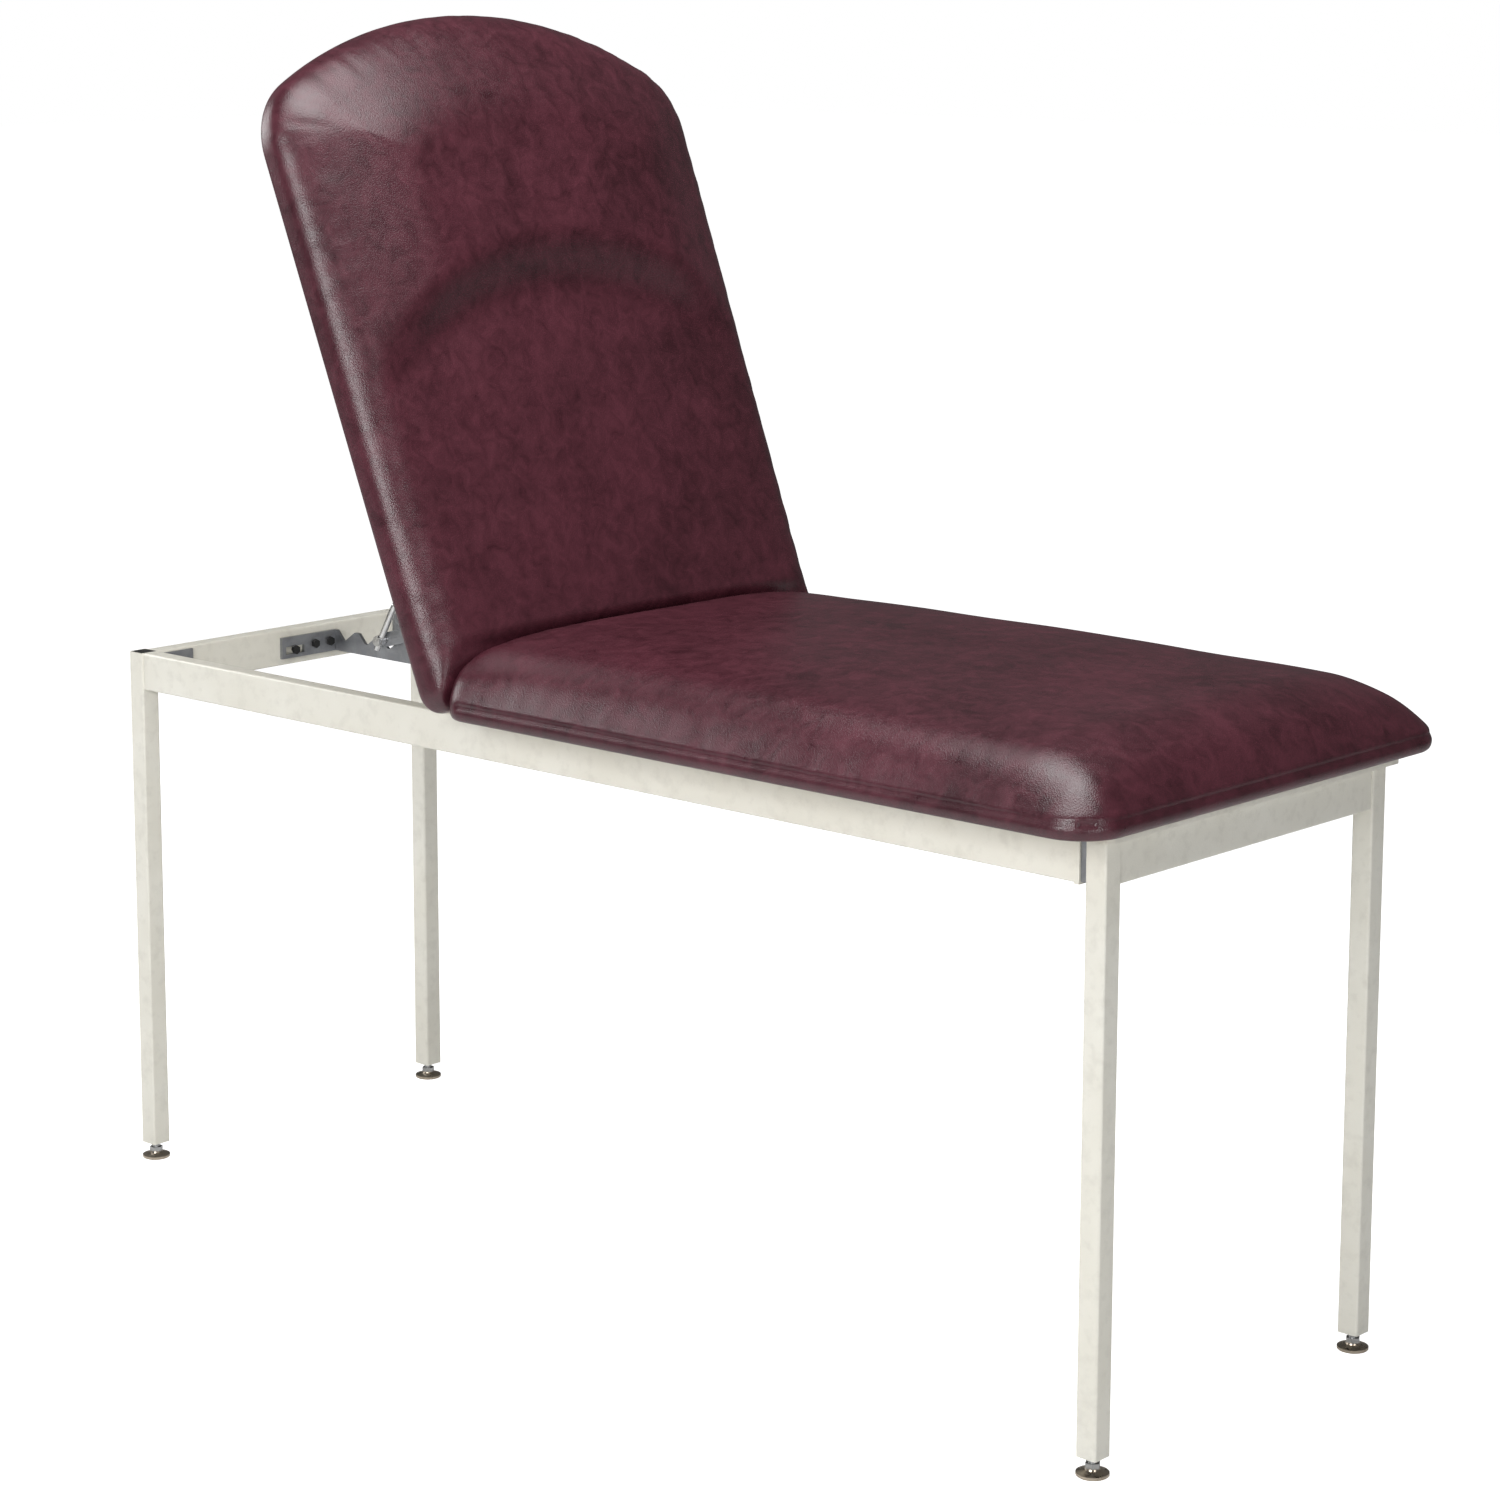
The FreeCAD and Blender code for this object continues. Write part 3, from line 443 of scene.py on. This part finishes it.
def build_pad(name, outline, rows, top_height):
    """A closed pad: rows are (inset, height) loops from the hidden cap below, out round the side
    and up to the top, whose last loop bounds a patch of even squares."""
    points, faces = [], []
    for inset, height in rows[:-1]:
        plan = outline.inset(inset)
        points.append(np.column_stack([plan, np.broadcast_to(height, len(plan))]))
    count = len(outline.loop)
    patch = outline.filled(outline.inset(rows[-1][0]))
    grid_start = count * len(points)
    inner = patch.reshape(-1, 2)
    points.append(np.column_stack([inner, np.full(len(inner), top_height)]))
    rings = [list(range(k * count, (k + 1) * count)) for k in range(len(rows) - 1)]
    rings.append(outline.ring_index(grid_start))
    cap = rings[0]
    faces += [[cap[-1 - i], cap[-2 - i], cap[i + 1], cap[i]] for i in range(count // 2 - 1)]
    for lower, upper in zip(rings, rings[1:]):
        for i in range(count):
            j = (i + 1) % count
            faces.append([lower[i], lower[j], upper[j], upper[i]])
    row = outline.across + 1
    for j in range(outline.along):
        for i in range(outline.across):
            corner = grid_start + j * row + i
            faces.append([corner, corner + 1, corner + row + 1, corner + row])
    mesh = bpy.data.meshes.new(name)
    mesh.from_pydata(np.concatenate(points).tolist(), [], faces)
    mesh.validate()
    pad = bpy.data.objects.new(name, mesh)
    bpy.context.scene.collection.objects.link(pad)
    return pad


def get_points(pad):
    points = np.zeros(len(pad.data.vertices) * 3)
    pad.data.vertices.foreach_get("co", points)
    return points.reshape(-1, 3)


def set_points(pad, points):
    pad.data.vertices.foreach_set("co", points.ravel())
    pad.data.update()


def swell(pad, held, pressure, limit):
    """Blow the cover up by cloth simulation, moving no point further than limit."""
    group = pad.vertex_groups.new(name="held")
    for index in np.flatnonzero(held):
        group.add([int(index)], 1.0, "REPLACE")
    before = get_points(pad)
    cloth = pad.modifiers.new("cloth", "CLOTH")
    cloth.settings.quality = 5
    cloth.settings.mass = 0.4
    cloth.settings.tension_stiffness = 12
    cloth.settings.compression_stiffness = 12
    cloth.settings.bending_stiffness = 1.5
    cloth.settings.use_pressure = True
    cloth.settings.uniform_pressure_force = pressure
    cloth.settings.effector_weights.gravity = 0
    cloth.settings.vertex_group_mass = "held"
    scene = bpy.context.scene
    for step in range(1, 21):
        scene.frame_set(step)
    settled = pad.evaluated_get(bpy.context.evaluated_depsgraph_get())
    after = np.zeros(len(before) * 3)
    settled.data.vertices.foreach_get("co", after)
    pad.modifiers.clear()
    scene.frame_set(1)
    moved = after.reshape(-1, 3) - before
    reach = np.linalg.norm(moved, axis=1, keepdims=True)
    set_points(pad, before + moved * limit * np.tanh(reach / limit) / np.maximum(reach, 1e-9))


def subdivide(pad):
    pad.modifiers.new("subdivide", "SUBSURF").levels = 1
    mesh = bpy.data.meshes.new_from_object(pad.evaluated_get(bpy.context.evaluated_depsgraph_get()))
    pad.modifiers.clear()
    pad.data = mesh


def nearest_on(outline, points):
    """For each point, how far inside the outline it is and how far along the outline."""
    dense = outline.loop
    best = np.full(len(points), np.inf)
    where = np.zeros(len(points), int)
    for start in range(0, len(points), 4000):
        part = points[start:start + 4000, None, :2] - dense[None]
        squares = (part ** 2).sum(2)
        where[start:start + 4000] = squares.argmin(1)
        best[start:start + 4000] = np.sqrt(squares.min(1))
    return best, outline.length[where]


def noise_along(points, seed):
    return np.array([noise.noise(Vector((x, y, z + seed))) for x, y, z in points])


def finish_pad(pad, matrix):
    """Move a pad from its own frame to its place, and keep each point's place for the finish."""
    store = pad.data.attributes.new(REST_PLACE, "FLOAT_VECTOR", "POINT")
    store.data.foreach_set("vector", get_points(pad).astype(np.float32).ravel())
    pad.data.transform(matrix)
    pad.data.shade_smooth()
    pad.data.materials.clear()
    pad.data.materials.append(VINYL)


def roll(count, width, low, high, start=0.0, end=90.0):
    """Rows round a quarter ellipse: inset and height as it turns from upright to flat."""
    rows = []
    for angle in np.radians(np.linspace(start, end, count)):
        rows.append((width * (1 - math.cos(angle)), low + (high - low) * math.sin(angle)))
    return rows


# ---------------------------------------------------------------- seat cushion

def seat_outline(low, high, half, foot_round, rear_round):
    foot_p, foot_q = high - foot_round, half - foot_round
    rear_p, rear_q = low + rear_round, half - rear_round
    foot = np.concatenate([arc((foot_p, -foot_q), foot_round, -45, 0),
                           arc((foot_p, foot_q), foot_round, 0, 45)])
    far = np.concatenate([arc((foot_p, foot_q), foot_round, 45, 90),
                          arc((rear_p, rear_q), rear_round, 90, 135)])
    rear = np.concatenate([arc((rear_p, rear_q), rear_round, 135, 180),
                           arc((rear_p, -rear_q), rear_round, 180, 225)])
    near = np.concatenate([arc((rear_p, -rear_q), rear_round, 225, 270),
                           arc((foot_p, -foot_q), foot_round, 270, 315)])
    return Outline(foot, far, rear, near)


def side_rows(base, cap_height, lip, shoulder, top, width, under):
    """Rows of a pad's side, from its hidden cap over the board to its top."""
    rows = [(MARGIN, cap_height), (MARGIN, base + SKIN), (MARGIN - 0.002, base), (MARGIN / 2, base)]
    rows += [(inset, 2 * lip - height) for inset, height in roll(5, under, lip, 2 * lip - base)][::-1]
    rows += roll(12, width, shoulder, top)
    return rows


MARGIN = 0.018
SKIN = 0.0015
# How far the seat pad stands past its CAD solid, its corners and its dome.
SEAT_SPREAD_SIDE = 0.006
SEAT_SPREAD_FOOT = 0.005
SEAT_CORNER_FOOT = 0.060
SEAT_CORNER_REAR = 0.034
SEAT_ROLL_MARGIN = 0.004
CROWN = 0.038
FOOT_DROP = 0.004
SIDE_ROLL = 0.080
FOOT_ROLL = 0.130
LIP = 0.020
LIP_GROOVE = 0.003
GROOVE_HALF = 0.004
GROOVE_REACH = 0.03


def build_seat():
    low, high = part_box("seat_cover")
    board_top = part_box("seat_board")[1].z
    outline = seat_outline(low.x, high.x + SEAT_SPREAD_FOOT, high.y + SEAT_SPREAD_SIDE,
                           SEAT_CORNER_FOOT, SEAT_CORNER_REAR)
    past_rear = smooth_step((outline.loop[:, 0] - low.x - 0.01) / 0.10)
    near_foot = smooth_step((outline.loop[:, 0] - high.x + 0.16) / 0.12)
    width = 0.016 + 0.026 * past_rear + 0.016 * near_foot
    top = high.z - 0.005
    rows = side_rows(low.z, board_top, low.z + 0.010, low.z + 0.016, top, width, 0.008)
    pad = build_pad("seat_cushion", outline, rows, top)
    points = get_points(pad)
    held = points[:, 2] < low.z + 0.024
    swell(pad, held, 0.2, 0.012)
    subdivide(pad)
    shape_seat(pad, outline, low, high)
    finish_pad(pad, Matrix.Identity(4))
    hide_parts("seat_cover", "seat_foam")
    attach(pad, "frame")


def dome(distance, width):
    """Rise of a stuffed edge, from 0 at the edge to 1 at a width inside it."""
    return np.sqrt(1 - np.clip(1 - distance / width, 0, 1) ** 2)


def shape_seat(pad, outline, low, high):
    """Dome the pad over its width and foot end, above a thin lip pulled in along the base."""
    points = get_points(pad)
    inside, along = nearest_on(outline, points)
    lip = low.z + LIP
    from_side = high.y + SEAT_SPREAD_SIDE + SEAT_ROLL_MARGIN - np.abs(points[:, 1])
    from_foot = high.x + SEAT_SPREAD_FOOT + SEAT_ROLL_MARGIN - points[:, 0]
    across = np.clip(np.abs(points[:, 1]) / high.y, 0, 1)
    lift = smooth_step((points[:, 2] - low.z - 0.014) / (high.z - low.z - 0.02))
    middle = np.clip((points[:, 0] - low.x) / (high.x - low.x), 0, 1)
    crown = CROWN * (1 - across ** 4) * (0.7 + 0.3 * np.sin(math.pi * middle ** 0.7))
    drop = FOOT_DROP * smooth_step(1 - from_foot / FOOT_ROLL)
    points[:, 2] += lift * (crown - drop)
    above = points[:, 2] > lip
    shrink = (dome(from_side, SIDE_ROLL) * dome(from_foot, FOOT_ROLL))[above]
    points[above, 2] = lip + (points[above, 2] - lip) * shrink
    off_rear = from_foot < high.x - low.x - 0.02
    pull = LIP_GROOVE * np.exp(-((points[:, 2] - lip) / GROOVE_HALF) ** 2) * off_rear
    points[:, 0] -= pull * (from_foot < GROOVE_REACH)
    points[:, 1] -= pull * (from_side < GROOVE_REACH) * np.sign(points[:, 1])
    edge = smooth_step(1 - inside / 0.075) * smooth_step((points[:, 2] - low.z - 0.004) / 0.02)
    ripples = noise_along(np.column_stack([along * 42, points[:, 2] * 12, inside * 9]), 3)
    folds = noise_along(points * (9, 9, 9), 11)
    points[:, 2] += 0.0007 * ripples * edge + 0.0012 * folds * lift
    set_points(pad, points)


# ---------------------------------------------------------------- back cushion

def back_outline(low, side_half, end_half, apex, arch, shoulder, base_round):
    """The backrest's plan: p runs up from the hinge, with an arched top and soft shoulders."""
    arch_p = apex - arch
    shoulder_q = side_half - shoulder
    shoulder_p = arch_p + math.sqrt((arch - shoulder) ** 2 - shoulder_q ** 2)
    turn = math.degrees(math.atan2(shoulder_q, shoulder_p - arch_p))
    split = (turn + 90) / 2
    base_p, base_q = low + base_round, end_half - base_round
    high = np.concatenate([arc((shoulder_p, -shoulder_q), shoulder, -split, -turn),
                           arc((arch_p, 0), arch, -turn, turn),
                           arc((shoulder_p, shoulder_q), shoulder, turn, split)])
    far = np.concatenate([arc((shoulder_p, shoulder_q), shoulder, split, 90),
                          arc((base_p, base_q), base_round, 90, 135)])
    base = np.concatenate([arc((base_p, base_q), base_round, 135, 180),
                           arc((base_p, -base_q), base_round, 180, 225)])
    near = np.concatenate([arc((base_p, -base_q), base_round, 225, 270),
                           arc((shoulder_p, -shoulder_q), shoulder, 270, 360 - split)])
    return Outline(high, far, base, near)


def back_box(node):
    """Corners of a CAD node in the backrest's own frame."""
    place = np.array(back_frame.inverted())
    points = get_points(nodes[node]) @ place[:3, :3].T + place[:3, 3]
    return Vector(points.min(0)), Vector(points.max(0))


# How far the back pad stands past its CAD solid, its arch and corners, and the pillow at its top.
BACK_SPREAD_SIDE = 0.020
BACK_SPREAD_BASE = 0.006
BACK_SPREAD_TOP = 0.007
BACK_ARCH = 0.640
BACK_SHOULDER = 0.105
BACK_BASE_CORNER = 0.030
PILLOW_RISE = 0.032
PILLOW_APEX = 0.522
PILLOW_ARCH = 0.500
PILLOW_EDGE = 0.085
BACK_CROWN = 0.014
SOFT_BEVEL = 0.005


def build_back():
    low, high = back_box("back_cover")
    board_top = back_box("back_board")[1].z
    outline = back_outline(low.x, high.y + BACK_SPREAD_SIDE, high.y + BACK_SPREAD_BASE,
                           high.x + BACK_SPREAD_TOP, BACK_ARCH, BACK_SHOULDER, BACK_BASE_CORNER)
    up = outline.loop[:, 0] - low.x
    width = 0.022 + 0.024 * smooth_step(up / 0.10) + 0.012 * smooth_step((up - 0.62) / 0.2)
    top = high.z - 0.005
    rows = side_rows(low.z, board_top, low.z + 0.012, low.z + 0.022, top, width, 0.010)
    pad = build_pad("back_cushion", outline, rows, top)
    points = get_points(pad)
    held = points[:, 2] < low.z + 0.030
    swell(pad, held, 0.2, 0.010)
    subdivide(pad)
    shape_back(pad, outline, low, high)
    finish_pad(pad, back_frame)
    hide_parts("back_cover", "back_foam")
    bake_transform(pad)


def shape_back(pad, outline, low, high):
    points = get_points(pad)
    inside, along = nearest_on(outline, points)
    lift = smooth_step((points[:, 2] - low.z - 0.02) / (high.z - low.z - 0.028))
    up, across = points[:, 0], points[:, 1]
    crown = BACK_CROWN * (1 - np.clip(np.abs(across) / high.y, 0, 1) ** 2)
    line = PILLOW_APEX - PILLOW_ARCH + np.sqrt(PILLOW_ARCH ** 2 - across ** 2)
    pillow = smooth_step((up - line + 0.015) / PILLOW_EDGE) * smooth_step(inside / 0.17)
    bevel = np.clip(1 - (up - low.x) / 0.088, 0, 1)
    points[:, 2] += lift * (crown + PILLOW_RISE * pillow)
    bulge = 0.006 * np.sin(math.pi * np.clip(bevel, 0, 1))
    limit = low.z + 0.029 + (high.z - low.z - 0.029) * (1 - bevel) + bulge
    over = np.clip((points[:, 2] - limit) / SOFT_BEVEL, -30, 30)
    points[:, 2] -= SOFT_BEVEL * np.log1p(np.exp(over)) * smooth_step(bevel / 0.25)
    edge = smooth_step(1 - inside / 0.075) * smooth_step((points[:, 2] - low.z - 0.008) / 0.02)
    ripples = noise_along(np.column_stack([along * 46, points[:, 2] * 14, inside * 9]), 5)
    folds = noise_along(points * (8, 8, 8), 17)
    points[:, 2] += 0.0016 * ripples * edge + 0.0014 * folds * lift
    set_points(pad, points)


# ---------------------------------------------------------------- floor

def add_floor():
    reach = 30
    mesh = bpy.data.meshes.new("floor")
    mesh.from_pydata([(-reach, -reach, 0), (reach, -reach, 0), (reach, reach, 0), (-reach, reach, 0)],
                     [], [(0, 1, 2, 3)])
    floor = bpy.data.objects.new("floor", mesh)
    tree, shader = new_material("pale_floor", base_color=grey(FLOOR_TONE), roughness=0.8,
                                specular_ior_level=0.1, emission_color=(1, 1, 1, 1))
    seen = add(tree, "ShaderNodeLightPath", {}).outputs["Is Camera Ray"]
    tree.links.new(fit_range(tree, seen, 0, 1, 0, FLOOR_GLOW), shader.inputs["Emission Strength"])
    mesh.materials.append(material_of(tree))
    bpy.context.scene.collection.objects.link(floor)


add_camera()
add_studio()
add_floor()
finish_cad_parts()
VINYL = material_of(vinyl())
build_seat()
build_back()
